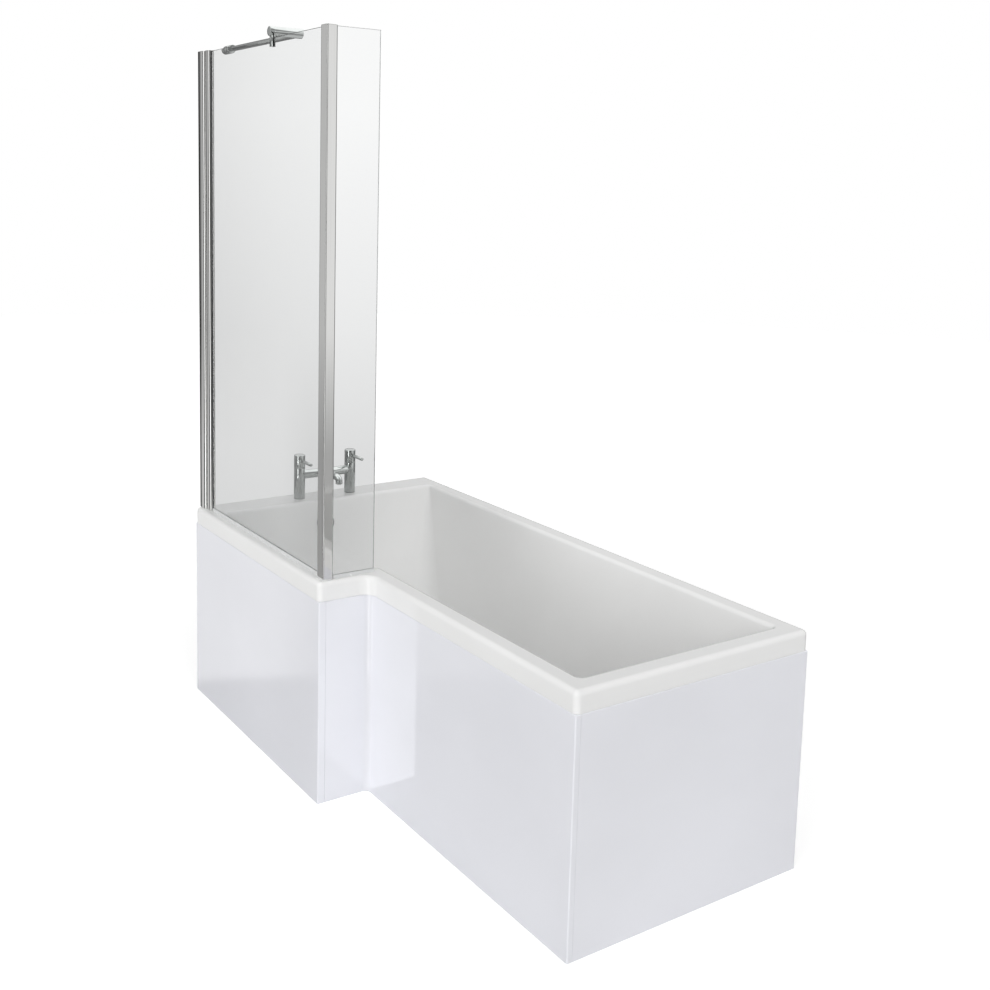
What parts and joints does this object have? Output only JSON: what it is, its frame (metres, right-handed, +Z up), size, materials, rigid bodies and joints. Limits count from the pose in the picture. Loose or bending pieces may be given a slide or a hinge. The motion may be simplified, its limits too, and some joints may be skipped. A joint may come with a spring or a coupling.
{
  "type": "shower bath",
  "caption": "L-shaped shower bath with glossy moulded panels, a fixed corner glass screen on a support bar, a bridged bath filler tap with turning levers, and a click plug",
  "frame": {"origin": "on the floor, under the middle of the bath's outline", "axes": "+X along the bath to the narrow foot end, +Y to the back wall, +Z up; taps stand at -X"},
  "size_m": [1.7, 0.85, 2.027],
  "materials": {
    "acrylic": "glossy white cast acrylic",
    "panel": "glossy white moulded panel",
    "board": "raw chipboard",
    "batten": "sawn softwood",
    "zinc": "zinc plated",
    "foot_plastic": "black moulded",
    "aluminium": "polished, bright anodised",
    "clear_plastic": "clear flexible strip",
    "glass": "clear toughened, greenish edge",
    "gasket": "dark grey soft strip",
    "rubber": "black rubber",
    "chrome": "mirror chrome plate",
    "brass": "machined brass",
    "aerator_plastic": "pale moulded insert",
    "waste_plastic": "white moulded pipe"
  },
  "bodies": {
    "bath": {"bath_shell": "acrylic", "front_panel": "panel", "end_panel": "panel", "base_board": "board", "panel_battens": "batten", "leg_rail_foot": "zinc", "leg_rail_middle": "zinc", "leg_rail_tap": "zinc", "rail_screws": "zinc", "leg_studs": "zinc", "leg_nuts": "zinc", "panel_clips": "zinc", "profile_screws": "zinc", "leg_feet": "foot_plastic", "wall_channel": "aluminium", "glass_profile": "aluminium", "corner_post": "aluminium", "profile_cap": "aluminium", "post_cap": "aluminium", "main_seal": "clear_plastic", "return_seal": "clear_plastic", "post_foot": "clear_plastic", "main_glass": "glass", "return_glass": "glass", "profile_gasket": "gasket", "post_gaskets": "gasket", "clamp_pads": "gasket", "waste_seals": "rubber", "tap_washers": "rubber", "support_bracket": "chrome", "bracket_pin": "chrome", "rod_end": "chrome", "support_rod": "chrome", "glass_clamp": "chrome", "clamp_screw": "chrome", "hot_pillar": "chrome", "cold_pillar": "chrome", "tap_bridge": "chrome", "tap_spout": "chrome", "waste_flange": "chrome", "overflow_rose": "chrome", "hot_cartridge": "brass", "cold_cartridge": "brass", "tap_tails": "brass", "tap_backnuts": "brass", "spout_aerator": "aerator_plastic", "waste_body": "waste_plastic", "waste_trap": "waste_plastic", "overflow_elbow": "waste_plastic", "overflow_hose": "waste_plastic"},
    "hot_tap_handle": {"hot_handle": "chrome", "hot_lever": "chrome", "hot_spindle": "brass"},
    "cold_tap_handle": {"cold_handle": "chrome", "cold_lever": "chrome", "cold_spindle": "brass"},
    "click_plug": {"plug_cap": "chrome", "plug_stem": "brass"}
  },
  "joints": [
    {"name": "hot_turn", "type": "hinge", "parent": "bath", "child": "hot_tap_handle", "pos_m": [-0.792, -0.09, 0.72], "axis": [0, 0, 1], "range_deg": [-90, 0]},
    {"name": "cold_turn", "type": "hinge", "parent": "bath", "child": "cold_tap_handle", "pos_m": [-0.792, 0.09, 0.72], "axis": [0, 0, 1], "range_deg": [0, 90]},
    {"name": "plug_lift", "type": "slide", "parent": "bath", "child": "click_plug", "axis": [0, 0, 1], "range_m": [0, 0.008]}
  ]
}
